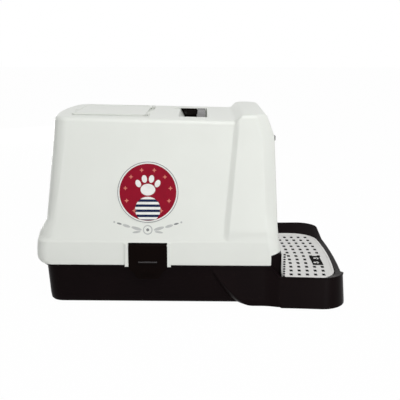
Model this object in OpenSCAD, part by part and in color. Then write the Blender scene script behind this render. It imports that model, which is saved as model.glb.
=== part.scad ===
// Cat litter box: a pan with a perforated entry step, and a lift-off hood with a swing door,
// a folding carry handle, a hatch over the odour filter and two side latches.
// X runs from the rear to the entry, Z is up, and the box stands on Z = 0, centred on the origin.

/* [Overall] */
// Length from the rear of the hood to the foot of the step
overall_l = 625; // [600:1:680]

/* [Pan] */
// Width of the tub at its floor
tub_foot_w = 376; // [350:2:380]
// Width of the tub under its flange
tub_top_w = 394; // [388:1:394]
// Height of the upstand inside the hood's skirt
upstand_h = 104; // [96:1:105]
// Wall thickness of the pan
pan_wall = 3.2; // [2.5:0.1:4]
// How far the hood's rear overhangs the tub
rear_overhang = 18; // [14:1:22]
// Radius of the tub's rear corners
tub_corner_r = 28; // [20:1:40]

/* [Entry step] */
// Width of the step at the front of its rim
step_w = 422; // [416:1:430]
// How much narrower the step's rim is at each side where it meets the tub
step_taper = 4.5; // [0:0.5:6]
// Height of the step's side rims
step_rim_h = 62; // [58:1:66]
// Height of the low front lip
lip_h = 45.5; // [45:0.5:50]
// How far the front bows out
front_bow = 11; // [4:1:22]
// Radius of the step's front corners
step_corner_r = 44; // [26:1:50]
// Sideways flare of the step's sides per unit of height
step_flare = 0.17; // [0.1:0.01:0.3]
// Forward flare of the step's front per unit of height
front_flare = 0.065; // [0:0.005:0.1]
// Depth of the basin's floor below the grate's top
basin_depth = 20; // [15:1:24]

/* [Grate] */
// Width of the perforated grate
grate_w = 342; // [330:2:356]
// Height of the grate's top face
grate_z = 43.5; // [42:0.5:47]
// Thickness of the grate
grate_t = 2.5; // [2:0.5:5]
// How far the grate's front bows out
grate_bow = 13; // [8:1:20]
// Front corner radius of the grate
grate_corner_r = 60; // [35:1:70]
// Width of the lip in front of the middle of the grate
lip_w = 8; // [6:0.5:14]
// Spacing of the hole rows across the box
row_pitch = 25; // [22:1:30]
// Spacing of the holes along a row
hole_pitch = 16.8; // [15:0.1:20]
// Length and width of one hole
hole_l = 6.5; // [5:0.5:9]
hole_w = 13; // [7:0.5:14]

/* [Hood] */
// Length of the hood at its foot
hood_l = 488; // [470:2:500]
// Width of the hood's skirt
hood_w = 400; // [400:1:408]
// Height of the raised arch at the entry
hood_h = 374.5; // [360:0.5:400]
// Height of the skirt's lower edge
skirt_z = 82; // [82:0.5:90]
// Height of the skirt band
skirt_h = 52; // [44:1:56]
// Width across the shoulders, 22 mm below the top of the arch
shoulder_w = 292; // [270:2:310]
// Wall thickness of the hood
hood_wall = 3; // [2.5:0.1:3.5]
// Radius of the hood's upright corners
hood_corner_r = 26; // [22:1:32]
// Radius of the hood's top edges
edge_r = 12; // [8:0.5:14]
// How far the arch stands above the main top
arch_rise = 12.5; // [6:0.5:16]
// How far the arch stands out of the sides
arch_proud = 8; // [4:0.5:9]
// Distance from the foot of the arch's step to the front of the hood
arch_l = 118; // [100:1:130]
// Depth of the bulge at the lower rear
bulge_d = 20; // [12:1:24]
// Slope of the main top in degrees, rising to the rear
top_slope = 1.15; // [0.5:0.01:2]
// How far the upper rear wall bows out
rear_bow = 10; // [0:1:14]

/* [Entry and door] */
// Width of the entry
entry_w = 224; // [200:2:232]
// Height of the entry's sill above the hood's skirt edge
sill_h = 35; // [32:1:40]
// Height of the door's spindle above the floor
spindle_z = 325; // [318:1:332]
// Radius of the door's spindle
spindle_r = 2.5; // [2:0.1:3]
// Thickness of the door flap
flap_t = 2.4; // [2:0.1:3]
// Gap between the flap and the entry's edge
flap_gap = 2.5; // [1.5:0.1:4]

/* [Carry handle] */
// Length of the handle's recess across the hood
recess_w = 184; // [150:1:190]
// Depth of the recess
recess_d = 24; // [22:1:26]
// Width of the grip bar
grip_w = 17; // [14:0.5:18]
// Thickness of the grip bar
grip_t = 12; // [9:0.5:13]
// Distance from the recess's front edge to the hood's front
recess_setback = 148; // [140:1:152]

/* [Hatch and filter] */
// Length of the hatch lid
hatch_l = 151; // [140:1:156]
// Width of the hatch lid
hatch_w = 200; // [180:2:210]
// Distance from the rear of the hood to the hatch lid
hatch_setback = 63; // [60:1:72]
// Thickness of the lid, and height of its raised border
lid_t = 1.7; // [1.5:0.1:3]
lid_border_h = 0.7; // [0.4:0.1:1.5]
// Thickness of the filter pad
pad_t = 8; // [5:0.5:9]

/* [Latches] */
// Width of each side latch
latch_w = 75; // [60:1:84]
// Distance from the rear of the hood to the latches' middle
latch_setback = 224; // [215:1:235]
// Height of the latch hinges above the skirt's lower edge
latch_hinge_h = 40; // [38:1:44]
// Height of the latch plate from its hinge to its lower edge
latch_drop = 67; // [58:1:68]
// Thickness of the latch plate
latch_t = 3; // [2.5:0.1:4]

/* [Badges] */
// Radius of the round side badges
badge_r = 61; // [45:1:66]
// Height of the badges' middle above the floor
badge_z = 224.5; // [215:0.5:235]

/* [Fits] */
// Gap between pieces of different bodies
gap = 0.3; // [0.2:0.05:0.4]
// Radial clearance of a pin in its hole
pin_clear = 0.05; // [0.02:0.01:0.1]

/* [Hidden] */
$fn = 48;

HOOD = [0.88, 0.89, 0.86];
DARK = [0.10, 0.08, 0.08];
WHITE = [0.85, 0.85, 0.84];
STEEL = [0.70, 0.71, 0.73];

front_x = overall_l / 2;
rear_x = -front_x;
hood_front = rear_x + hood_l;

// The hood's walls lean in from the top of its skirt to its shoulders
skirt_top = skirt_z + skirt_h;
shoulder_z = hood_h - 22.5;
skirt_proud = 3.8;
lean = (hood_w / 2 - skirt_proud - shoulder_w / 2) / (shoulder_z - skirt_top);
draft = atan(lean);

// ---- rounded lofts --------------------------------------------------------

function arc(cx, cy, r, a0, a1, n) =
    [for (i = [0:n]) let (a = a0 + (a1 - a0) * i / n) [cx + r * cos(a), cy + r * sin(a)]];
function mix(a, b, f) = a + (b - a) * f;
function clip01(v) = max(0, min(1, v));
function smooth(v) = let (c = clip01(v)) c * c * (3 - 2 * c);

// A ring of points from its near (-Y) half, which runs from the rear to the front
function ring(half) =
    concat(half, [for (i = [len(half) - 1:-1:0]) [half[i].x, -half[i].y, half[i].z]]);

// Closed skin through a sequence of rings. The first and last rings are capped straight across.
// flip turns the skin over, for a sequence that starts under the body.
module skin(halves, flip) {
    n = len(halves[0]);
    m = 2 * n;
    last = (len(halves) - 1) * m;
    quads = concat(
        [for (k = [0:len(halves) - 2], i = [0:m - 1])
            let (a = k * m + i, b = k * m + (i + 1) % m) [a, b, b + m, a + m]],
        [for (i = [0:n - 2]) [i, m - 1 - i, m - 2 - i, i + 1]],
        [for (i = [0:n - 2]) [last + i, last + i + 1, last + m - 2 - i, last + m - 1 - i]]
    );
    faces = [for (q = quads, h = [0, 1])
        let (t = h == 0 ? [q[0], q[1], q[2]] : [q[0], q[2], q[3]])
        flip ? [t[2], t[1], t[0]] : t];
    polyhedron(points = [for (h = halves) each ring(h)], faces = faces, convexity = 10);
}

// ---- pan ------------------------------------------------------------------

// The hood's skirt stands on the tub's flange
rim_h = skirt_z - gap;
tub_rear = rear_x + rear_overhang;
rear_draft = 0.045;
side_draft = (tub_top_w - tub_foot_w) / 2 / rim_h;
// The hood's front wall stands over the threshold between tub and step
threshold_x = hood_front - 8;
threshold_t = 8;
basin_x = threshold_x + threshold_t;
// The step's foot is the foremost point, just above its rounded bottom edge
step_front = front_x - front_flare * (step_rim_h - 1) + 0.4;
// The grate's corners stay within the step's length
grate_r = min(grate_corner_r, step_front - lip_w - basin_x - grate_bow);
seat_z = grate_z - grate_t - gap;
basin_z = grate_z - basin_depth;
// Where the flare's crease meets the flange, and how far it runs back towards the floor
crease_setback = 144;
crease_top_x = hood_front - crease_setback;
crease_run = 66;
slope_top_x = hood_front - 23;
// The dip of the front lip, and the rise to the side rims beside it
dip_half_w = 128;
dip_rise = 50;
// The upstand stands just inside the turned-in foot of the skirt
skirt_turn_in = 1;
upstand_out = hood_w / 2 - skirt_turn_in - hood_wall / cos(draft) - gap;
upstand_d = tub_half_w(rim_h) - upstand_out;
// and turns in a little where the hood's front corners begin
upstand_turn = 2.2;
function turned_in(x) = upstand_turn * smooth((x - hood_front + hood_corner_r + 4) / 16);

// The step's sides draw in over this length in front of the threshold
taper_run = 100;

function tub_half_w(z) = tub_foot_w / 2 + side_draft * z;
function step_half_w(x, z) =
    step_w / 2 - step_taper * clip01((basin_x + taper_run - x) / taper_run) + step_flare * (step_rim_h - z);
// Under the hood the step's sides stay inside the skirt
function flared_half_w(x, z) =
    step_half_w(x, z)
    - (step_half_w(x, rim_h) - tub_half_w(rim_h)) * (1 - smooth((x - slope_top_x + 10) / 33));
// The S-shaped crease where the flare leaves the tub's side
function crease_x(z) = crease_top_x + crease_run * (1 - pow(clip01(z / rim_h), 0.6));
function rim_z(x) = mix(rim_h, step_rim_h, smooth((x - slope_top_x) / 23));

// Outline of the step's front: a corner arc, then the bowed front, up to the middle
function front_outline(half_w, fx, r, bow_d) =
    let (bow = function (y) bow_d * pow(y / half_w, 2),
         cx = fx - bow(half_w - r) - r)
    concat(arc(cx, -(half_w - r), r, 270, 354, 6),
           [for (f = [0.72, 0.42, 0.14]) let (y = (half_w - r) * f) [fx - bow(y), -y]]);
FRONT_N = 10;
function lip_z(y) = mix(lip_h, step_rim_h, smooth((abs(y) - dip_half_w) / dip_rise));

// Each level is [offset, height] for the tub, then the same for the step. Offsets go outwards.
// The step's inner levels are measured from the grate's outline instead (third value 1).
function pan_levels(h) = let (f = h - 4, g = pan_wall) [
    [[-20, 0], [3, basin_z - 3, 1]],
    [[-18, 0], [4.5, grate_z - 7, 1]],
    [[-16, 0], [-6, h - 9, 0]],
    [[-14, 0], [-g, 0, 0]],
    [[-7, 0], [-1.5, 0, 0]],
    [[-3, 1.2], [-0.4, 1, 0]],
    [[-0.8, 4], [0, 3, 0]],
    [[0, 0.19 * f], [0, 0.19 * f, 0]],
    [[0, 0.45 * f], [0, 0.45 * f, 0]],
    [[0, 0.72 * f], [0, 0.72 * f, 0]],
    [[0, f], [0, f + 1, 0]],
    [[2.7, h - 3.5], [1.2, h - 2.2, 0]],
    [[2.7, h], [1.2, h - 0.6, 0]],
    [[-upstand_d, h], [-0.2, h, 0]],
    [[-upstand_d, upstand_h], [-1.4, h - 0.1, 0]],
    [[-upstand_d - g, upstand_h], [-g, h - 1.2, 0]],
    [[-upstand_d - g, 0.72 * f], [0.6, grate_z, 1]],
    [[-0.6 - g, 0.45 * f], [0.4, seat_z, 1]],
    [[-g, 0.19 * f], [-5, seat_z, 1]],
    [[-3 - g, 6.5], [-5.6, basin_z + 6, 1]],
    [[-9 - g, g + 0.6], [-7, basin_z + 0.6, 1]],
    [[-13 - g, g], [-10, basin_z, 1]]
];
PAN_LEVELS = len(pan_levels(rim_h));
// The levels of the upstand, which runs straight on inside the hood where the flange flares out
UPSTAND_FROM = 13;
UPSTAND_TO = 16;

function pan_half(k) =
    let (tub = pan_levels(rim_h)[k][0],
         z = tub[1],
         zc = min(z, rim_h),
         d = tub[0],
         rear_d = d + (k == 11 || k == 12 ? 5 : 0),
         xr = tub_rear + rear_draft * (rim_h - zc) - rear_d,
         w = tub_half_w(zc) + d,
         r = max(4, tub_corner_r + rear_d),
         spread = max(3, (flared_half_w(0, zc) - tub_half_w(zc)) / 0.9))
    concat(
        [for (p = arc(xr + r, -(w - r), r, 180, 270, 6)) [p.x, p.y, z]],
        [for (s = [[0, 0], [0.35, 0.52], [0.7, 0.89], [1, 1]])
            [crease_x(zc) + s[0] * spread,
             -(mix(tub_half_w(zc), flared_half_w(0, zc), s[1]) + d), z]],
        [for (x = [slope_top_x - 12, slope_top_x, slope_top_x + 6, slope_top_x + 11,
                   slope_top_x + 16, basin_x - 3])
            let (h = min(rim_h, rim_z(x)),
                 t = pan_levels(h)[k][0],
                 tz = min(t[1], h),
                 w = k >= UPSTAND_FROM && k <= UPSTAND_TO
                     ? tub_half_w(rim_h) - turned_in(x) : flared_half_w(x, tz))
            [x, -(w + t[0]), t[1]]],
        [for (x = [basin_x, basin_x + 8, basin_x + 38]) step_point(k, x, -1, step_rim_h)],
        [for (i = [0:FRONT_N - 1]) step_point(k, 0, i, 0)]
    );

// A point of the step: at x along its side (i < 0), or number i of its front outline
function step_point(k, x, i, h_side) =
    let (gw = grate_w / 2,
         outer0 = front_outline(step_w / 2, step_front, step_corner_r, front_bow),
         h = i < 0 ? h_side : lip_z(outer0[i].y),
         t = pan_levels(h)[k][1],
         z = t[1],
         d = t[0],
         fall = step_rim_h - min(z, h))
    t[2] == 1
        ? (i < 0 ? [x, -(gw + d), z]
                 : let (p = front_outline(gw + d, step_front - lip_w + d, grate_r + d, grate_bow)[i])
                   [p.x, p.y, z])
        : (i < 0 ? [x, -(step_half_w(x, min(z, h)) + d), z]
                 : let (p = front_outline(step_w / 2 + step_flare * fall + d,
                                          step_front + front_flare * fall + d,
                                          step_corner_r + d + 0.1 * fall, front_bow)[i])
                   [p.x, p.y, z]);

module pan_moulding() {
    skin([for (k = [0:PAN_LEVELS - 1]) pan_half(k)], true);
    threshold();
}

// The moulding is kept as two pieces that meet inside the threshold: the tub and the entry step
seam_x = threshold_x + threshold_t / 2;
module pan() {
    color(DARK)
        intersection() {
            pan_moulding();
            translate([seam_x - overall_l, -step_w, -1])
                cube([overall_l, 2 * step_w, hood_h]);
        }
}

module entry_step() {
    color(DARK)
        intersection() {
            pan_moulding();
            translate([seam_x, -step_w, -1])
                cube([overall_l, 2 * step_w, hood_h]);
        }
}

// Wall between the tub and the basin of the step
module threshold() {
    half = concat(
        [for (z = [8, 32]) [flared_half_w(threshold_x, z) - pan_wall / 2, z]],
        [for (z = [step_rim_h - 12, upstand_h]) [upstand_out - upstand_turn - pan_wall / 2, z]]);
    translate([threshold_x, 0, 0])
        rotate([90, 0, 90])
            linear_extrude(threshold_t)
                polygon(concat([[-half[0].x + 8, 1.5], [half[0].x - 8, 1.5]], half,
                               [for (i = [len(half) - 1:-1:0]) [-half[i].x, half[i].y]]));
}

// ---- grate ----------------------------------------------------------------

grate_front = step_front - lip_w - gap;
grate_rear = basin_x + gap;
sill_t = 5;
plate_l = 22;
plate_w = 61;
plate_x = grate_front - 32;
plate_y = -45.5;

function grate_outline(inset) =
    let (half = concat([[grate_rear + inset, -(grate_w / 2 - gap - inset)]],
                       front_outline(grate_w / 2 - gap - inset, grate_front - inset,
                                     grate_r - inset, grate_bow)))
    concat(half, [for (i = [len(half) - 1:-1:0]) [half[i].x, -half[i].y]]);

// Middle of hole number c in the row at y: rows follow the bow of the front
function hole_x(c, y) = grate_front - 21.5 - c * hole_pitch - 9 * pow(y / 137.5, 2);
function in_grate(x, y) =
    abs(y) < grate_w / 2 - 28 && x > grate_rear + 20
    && norm([max(0, x - (grate_front - front_bow * 0.8 - grate_r)),
             max(0, abs(y) - (grate_w / 2 - grate_r))]) < grate_r - 9;
function under_plate(x, y) =
    abs(x - plate_x) < plate_l / 2 + hole_l / 2 + 1 && abs(y - plate_y) < plate_w / 2 + 2;
row_n = floor((grate_w / 2 - 28) / row_pitch - 0.5);

module grate_holes() {
    for (side = [-1, 1], r = [0:row_n], c = [0:4]) {
        y = side * (r + 0.5) * row_pitch;
        x = hole_x(c, y);
        if (in_grate(x, y) && !under_plate(x, y))
            translate([x, y])
                square([hole_l, hole_w], center = true);
    }
}

module grate() {
    half = grate_w / 2 - gap;
    color(WHITE) {
        translate([0, 0, grate_z - grate_t])
            linear_extrude(grate_t)
                difference() {
                    polygon(grate_outline(0));
                    grate_holes();
                }
        // raised border
        translate([0, 0, grate_z])
            linear_extrude(1.2)
                difference() {
                    polygon(grate_outline(0));
                    polygon(grate_outline(4));
                }
        // sill that covers the threshold
        translate([grate_rear, 0, 0])
            rotate([90, 0, 90])
                linear_extrude(sill_t)
                    polygon([[-half, grate_z - grate_t], [half, grate_z - grate_t],
                             [half, grate_z + 1], [half + 10, grate_z + 8],
                             [half + 10, upstand_h], [-half - 10, upstand_h],
                             [-half - 10, grate_z + 8], [-half, grate_z + 1]]);
    }
}

module grate_nameplate() {
    color(DARK)
        translate([plate_x - plate_l / 2, plate_y - plate_w / 2, grate_z])
            cube([plate_l, plate_w, 1.2]);
}

// ---- hood -----------------------------------------------------------------

bend_z = hood_h - 44.5;
arch_top_x = hood_front - arch_l + 17;
bulge_z = skirt_z + 17;
bulge_h = 70;

function main_top(x) = hood_h - arch_rise - (x - arch_top_x) * tan(top_slope);
function wall_line(z) = hood_w / 2 - skirt_proud - (z - skirt_top) * lean;
function skirt_half_w(z) =
    hood_w / 2
    - lookup(z - skirt_z, [[0, skirt_turn_in], [2, 0], [skirt_h - 7, 0], [skirt_h - 3.5, 0.8]]);
// Half width of the main hood, and of the arch that is proud of it
function main_half_w(z) = z < skirt_top - 0.1 ? skirt_half_w(z) : wall_line(z);
function arch_half_w(z) = min(skirt_half_w(z), wall_line(z) + arch_proud);

function rear_inset(z) =
    z > bulge_z + bulge_h ? bulge_d + 0.066 * (z - bulge_z - bulge_h)
    : z > bulge_z ? bulge_d * pow((z - bulge_z) / bulge_h, 2.6)
    : 9 * pow((bulge_z - z) / 17, 3);
// The bow and the rounder rear corners grow from the bulge's top upwards
bow_h = 80;
rear_round = 6;
function bowed(z) = smooth((z - bulge_z - bulge_h) / bow_h);
// Above the skirt the hood's front corners turn from round into flat facets
facet_h = 60;
FACET_STEPS = [0, 0.05, 0.25, 0.5, 0.75, 0.95, 1];
function faceted(p, flat) =
    let (n = len(p) - 1)
    [for (i = [0:n]) mix(p[i], mix(p[0], p[n], FACET_STEPS[i]), 0.85 * flat)];
// The hood's front sweeps back by sweep_d over sweep_h, from sweep_from above the skirt's edge
sweep_from = 25;
sweep_h = 75;
sweep_d = 8.5;
function front_inset(z) =
    let (v = clip01((z - skirt_z - sweep_from) / sweep_h))
    sweep_d * (1 - pow(1 - v, 2)) + 0.04 * max(0, z - skirt_z - sweep_from - sweep_h)
    + 0.33 * max(0, z - bend_z);

// Wall levels are [0, height], and levels of the rounded top edge are [1, angle]
HOOD_LEVELS = concat(
    [for (d = [0, 2, 5, 9, 15, 29, skirt_h - 7, skirt_h - 3.5, skirt_h]) [0, skirt_z + d]],
    [for (f = [0.03, 0.07, 0.12, 0.18, 0.24, 0.49, 0.8, 1]) [0, mix(skirt_top, bend_z, f)]],
    [for (a = [draft, 32, 51, 70, 90]) [1, a]]
);

function hood_half(level, t) =
    let (top = level[0] == 1,
         a = level[1],
         d = top ? (edge_r - t) * (cos(draft) - cos(a)) : 0,
         roof = function (x, s) main_top(x) + (hood_h - main_top(x)) * s,
         tangent = function (x, s) roof(x, s) - edge_r + (edge_r - t) * sin(draft),
         zf = function (x, s) top ? roof(x, s) - edge_r + (edge_r - t) * sin(a) : a,
         zw = function (x, s) top ? tangent(x, s) : a,
         wf = function (x, s)
            mix(main_half_w(zw(x, s)), arch_half_w(zw(x, s)), s) - t / cos(draft) - d,
         xr = rear_x + rear_inset(zw(rear_x, 0)) + t + d,
         xf = hood_front - front_inset(zw(hood_front, 1)) - t - d,
         r = hood_corner_r - t - d,
         up = bowed(zw(rear_x, 0)),
         rr = r + rear_round * up,
         x0 = hood_front - arch_l + 0.095 * (zw(hood_front - arch_l, 0) - skirt_top - 6) + t,
         run = 15 + (top ? 11 * (a - draft) / (90 - draft) : 0),
         wr = wf(xr + rr, 0),
         wfr = wf(xf - r, 1))
    concat(
        [for (f = [0.2, 0.5, 0.8]) let (x = xr - rear_bow * up * (1 - f * f))
            [x, -(wr - rr) * f, zf(x, 0)]],
        [for (p = arc(xr + rr, -(wr - rr), rr, 180, 270, 6)) [p.x, p.y, zf(p.x, 0)]],
        [for (s = [[0, 0], [0.3, 0.15], [0.7, 0.85], [1, 1]])
            let (x = x0 + s[0] * run) [x, -wf(x, s[1]), zf(x, s[1])]],
        [for (p = faceted(arc(xf - r, -(wfr - r), r, 270, 360, 6),
                          smooth((zw(xf, 1) - skirt_top) / facet_h)))
            [p.x, p.y, zf(p.x, 1)]]
    );

HOOD_N = len(HOOD_LEVELS);
module hood_skin() {
    skin(concat([for (k = [HOOD_N - 1:-1:0]) hood_half(HOOD_LEVELS[k], 0)],
                [for (k = [0:HOOD_N - 1]) hood_half(HOOD_LEVELS[k], hood_wall)]), false);
}

// Places children on the sloping top: x along the box, z = 0 at the surface
module on_top(x) {
    translate([x, 0, main_top(x)])
        rotate([0, top_slope, 0])
            children();
}
// Extrudes an outline drawn in X and Z across the box, centred
module across(w) {
    rotate([90, 0, 0])
        linear_extrude(w, center = true)
            children();
}
module rounded_box(l, w, r) {
    hl = l / 2 - r;
    hw = w / 2 - r;
    polygon(concat(arc(hl, hw, r, 0, 90, 5), arc(-hl, hw, r, 90, 180, 5),
                   arc(-hl, -hw, r, 180, 270, 5), arc(hl, -hw, r, 270, 360, 5)));
}

// Recess of the carry handle, from x = 0 at its front edge towards the rear
recess_x = hood_front - recess_setback;
recess_l = 60;
scoop_l = 22;
recess_slope = 12;
recess_wall = 2.5;
pivot_x = -48;
pivot_z = -10;
module recess_outline(t) {
    polygon([[-recess_l - scoop_l - 2 * t, 4 - 4.5 * min(1, t)],
             [-recess_l - scoop_l, t == 0 ? 0 : -hood_wall],
             [-recess_l - t, -3.5 - 1.5 * t], [-recess_l + recess_slope - t, -recess_d - t],
             [-1 + t, -recess_d - t], [t, -2], [t, t == 0 ? 4 : -0.5]]);
}

// Hatch: opening, ledge and hinge line
hatch_rear = rear_x + hatch_setback;
hatch_front = hatch_rear + hatch_l;
hatch_axis_x = hatch_front + 4;
hatch_axis_z = 1.5;
hatch_pin_r = 1.6;
knuckle_r = 3;
hatch_open_l = hatch_l - 31;
hatch_open_w = hatch_w - 38;
hatch_mid = hatch_rear + hatch_l / 2 - 3.5;
ear_y = hatch_w / 2 - 10;
ear_t = 8;
tray_flange = 4;

// Latches hang in windows of the skirt
latch_x = rear_x + latch_setback;
latch_z = skirt_z + latch_hinge_h;
latch_y = hood_w / 2;
latch_pin_r = 1.8;
barrel_r = 3.5;
window_w = latch_w + 2;
frame_w = 7;
frame_out = 3;
frame_in = 6;
frame_h = latch_hinge_h + 5;

// Door
door_x = hood_front - 18;
sill_z = skirt_z + sill_h;
lintel_z = spindle_z + 7;
clip_w = 14;
clip_h = 9;
clip_bore = 10;
// from behind the hood's front wall to just in front of it
clip_rear = -6;
clip_front = 6.3;

module entry_outline(grow) {
    half = entry_w / 2 + grow;
    low = 50 + grow;
    up = 6 + max(0, grow);
    polygon(concat(arc(half - low, sill_z - grow + low, low, 270, 360, 8),
                   arc(half - up, lintel_z + grow - up, up, 0, 90, 4),
                   arc(-half + up, lintel_z + grow - up, up, 90, 180, 4),
                   arc(-half + low, sill_z - grow + low, low, 180, 270, 8)));
}

module hood_cuts() {
    // the skirt ends in front of the latch side, and the front wall stops above the sill
    translate([hood_front - 21, 0, 0])
        across(hood_w + 60)
            polygon([[0, skirt_z - 10], [0, skirt_z + 21], [21, skirt_z + 25.5],
                     [60, skirt_z + 25.5], [60, skirt_z - 10]]);
    translate([hood_front - 60, 0, 0])
        rotate([90, 0, 90])
            linear_extrude(90)
                entry_outline(0);
    for (side = [-1, 1]) {
        // seats of the door clips
        translate([door_x - 30, side * (entry_w / 2 + clip_w / 2 - 1), spindle_z])
            cube([80, clip_w + 2, clip_h + 0.2], center = true);
        // latch windows
        translate([latch_x - window_w / 2, side > 0 ? hood_w / 2 - 30 : -hood_w / 2 - 10,
                   skirt_z - 5])
            cube([window_w, 40, latch_hinge_h + 11]);
    }
    on_top(hatch_mid)
        translate([0, 0, -10])
            linear_extrude(20)
                rounded_box(hatch_open_l, hatch_open_w, 6);
    // groove of the hatch hinge
    on_top(hatch_axis_x)
        translate([-4, -hatch_w / 2, -2])
            cube([8, hatch_w, 10]);
    on_top(recess_x)
        across(recess_w)
            recess_outline(0);
}

// Ribs, ledges and the recess tub under the hood's top
module hood_inside() {
    on_top(recess_x)
        difference() {
            across(recess_w + 2 * recess_wall)
                recess_outline(recess_wall);
            across(recess_w)
                recess_outline(0);
        }
    on_top(hatch_mid)
        translate([0, 0, -hood_wall - 3])
            linear_extrude(3.2)
                difference() {
                    rounded_box(hatch_open_l + 10, hatch_open_w + 10, 9);
                    rounded_box(hatch_open_l - 2 * tray_flange, hatch_open_w - 2 * tray_flange, 4);
                }
    on_top(hatch_axis_x)
        translate([-6, -hatch_w / 2 - 2, -hood_wall - 3])
            cube([12, hatch_w + 4, 4]);
}

// Ears beside the hatch's knuckles, raised frames beside the latch windows
module hood_outside() {
    for (side = [-1, 1]) {
        on_top(hatch_axis_x)
            translate([-3, side * ear_y - ear_t / 2, -2.5])
                cube([6, ear_t, hatch_axis_z + 5.5]);
        for (end = [-1, 1])
            translate([latch_x + end * (window_w + frame_w) / 2 - frame_w / 2, 0, 0])
                rotate([90, 0, 90])
                    linear_extrude(frame_w)
                        scale([side, 1])
                            latch_frame_outline();
    }
}

// A frame holds the latch's pin above the upstand, and hangs a little below the skirt outside it
module latch_frame_outline() {
    wall_y = hood_w / 2;
    polygon([[wall_y + 0.3, skirt_z - 2.5], [wall_y + frame_out, skirt_z - 2.5],
             [wall_y + frame_out, skirt_z + frame_h], [wall_y - frame_in, skirt_z + frame_h],
             [wall_y - frame_in, upstand_h + 4], [wall_y - hood_wall + 0.4, upstand_h + 1],
             [wall_y - hood_wall + 0.4, skirt_z + 2.5], [wall_y + 0.3, skirt_z + 2.5]]);
}

module hood_shell() {
    color(HOOD)
        difference() {
            union() {
                difference() {
                    hood_skin();
                    hood_cuts();
                }
                hood_inside();
                hood_outside();
            }
            on_top(hatch_axis_x)
                for (side = [-1, 1])
                    translate([0, side * ear_y, hatch_axis_z])
                        rotate([90, 0, 0])
                            cylinder(r = hatch_pin_r, h = ear_t + 4, center = true);
            for (side = [-1, 1])
                translate([latch_x, side * latch_y, latch_z])
                    rotate([0, 90, 0])
                        cylinder(r = latch_pin_r, h = window_w + 2 * frame_w - 4, center = true);
        }
}

// ---- carry handle ---------------------------------------------------------

plate_out = recess_w / 2 - 0.2;
plate_front = -23;
side_plate_t = 3.2;
arm_out = plate_out - side_plate_t - 0.5;
arm_t = 4;
handle_pin_r = 2.5;

module handle_frame() {
    color(DARK)
        on_top(recess_x)
            for (side = [-1, 1])
                translate([0, side * (plate_out - side_plate_t / 2), 0])
                    difference() {
                        across(side_plate_t)
                            polygon([[-recess_l + 0.8, -1], [-recess_l + recess_slope, -recess_d + 0.2],
                                     [plate_front - 1, -recess_d + 0.2], [plate_front, -8],
                                     [plate_front, -1]]);
                        translate([pivot_x, 0, pivot_z])
                            rotate([90, 0, 0])
                                cylinder(r = handle_pin_r, h = 10, center = true);
                    }
}

module handle_pins() {
    color(STEEL)
        on_top(recess_x)
            for (side = [-1, 1])
                translate([pivot_x, side * (plate_out - 0.1), pivot_z])
                    rotate([side * 90, 0, 0])
                        cylinder(r = handle_pin_r, h = side_plate_t + 0.5 + arm_t + 0.3);
}

module carry_handle() {
    bar_front = -4;
    bar_rear = bar_front - grip_w;
    color(DARK)
        on_top(recess_x)
            difference() {
                union() {
                    across(recess_w - 1.4)
                        polygon([[bar_rear + 1, -gap], [bar_front - 1, -gap],
                                 [bar_front, -gap - 1], [bar_front, -grip_t + 3],
                                 [bar_front - 3, -grip_t], [bar_rear + 3, -grip_t],
                                 [bar_rear, -grip_t + 3], [bar_rear, -gap - 1]]);
                    for (side = [-1, 1])
                        translate([0, side * (arm_out - arm_t / 2), 0]) {
                            across(arm_t)
                                polygon([[pivot_x, pivot_z + 5.5], [bar_rear + 6, -3],
                                         [bar_rear + 6, -grip_t], [pivot_x, pivot_z - 5.5]]);
                            translate([pivot_x, 0, pivot_z])
                                rotate([90, 0, 0])
                                    cylinder(r = 5.5, h = arm_t, center = true);
                        }
                }
                translate([pivot_x, 0, pivot_z])
                    rotate([90, 0, 0])
                        cylinder(r = handle_pin_r + pin_clear, h = recess_w, center = true);
            }
}

// ---- hatch and filter -----------------------------------------------------

tray_l = hatch_open_l - 0.8;
tray_w = hatch_open_w - 0.8;
tray_body_l = hatch_open_l - 2 * tray_flange - 0.8;
tray_body_w = hatch_open_w - 2 * tray_flange - 0.8;
tray_d = 18;
tray_wall = 2;

module filter_tray() {
    color(WHITE)
        on_top(hatch_mid)
            difference() {
                union() {
                    translate([0, 0, -hood_wall + 0.2])
                        linear_extrude(1.8)
                            rounded_box(tray_l, tray_w, 5.6);
                    translate([0, 0, -tray_d])
                        linear_extrude(tray_d - hood_wall + 1)
                            rounded_box(tray_body_l, tray_body_w, 3.6);
                }
                translate([0, 0, -tray_d + tray_wall])
                    linear_extrude(tray_d + 2)
                        rounded_box(tray_body_l - 2 * tray_wall, tray_body_w - 2 * tray_wall, 2);
                for (i = [-4:4], side = [-1, 1])
                    translate([i * tray_body_l / 10, side * tray_body_w / 4, -tray_d])
                        cube([5, tray_body_w / 2 - 14, 10], center = true);
            }
}

module filter_pad() {
    color([0.15, 0.15, 0.16])
        on_top(hatch_mid)
            translate([0, 0, -tray_d + tray_wall])
                linear_extrude(pad_t)
                    rounded_box(tray_body_l - 2 * tray_wall - 1, tray_body_w - 2 * tray_wall - 1, 3);
}

module hatch_pins() {
    color(STEEL)
        on_top(hatch_axis_x)
            for (side = [-1, 1])
                translate([0, side * (ear_y + ear_t / 2), hatch_axis_z])
                    rotate([side * 90, 0, 0])
                        cylinder(r = hatch_pin_r, h = ear_t + 20);
}

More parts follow.
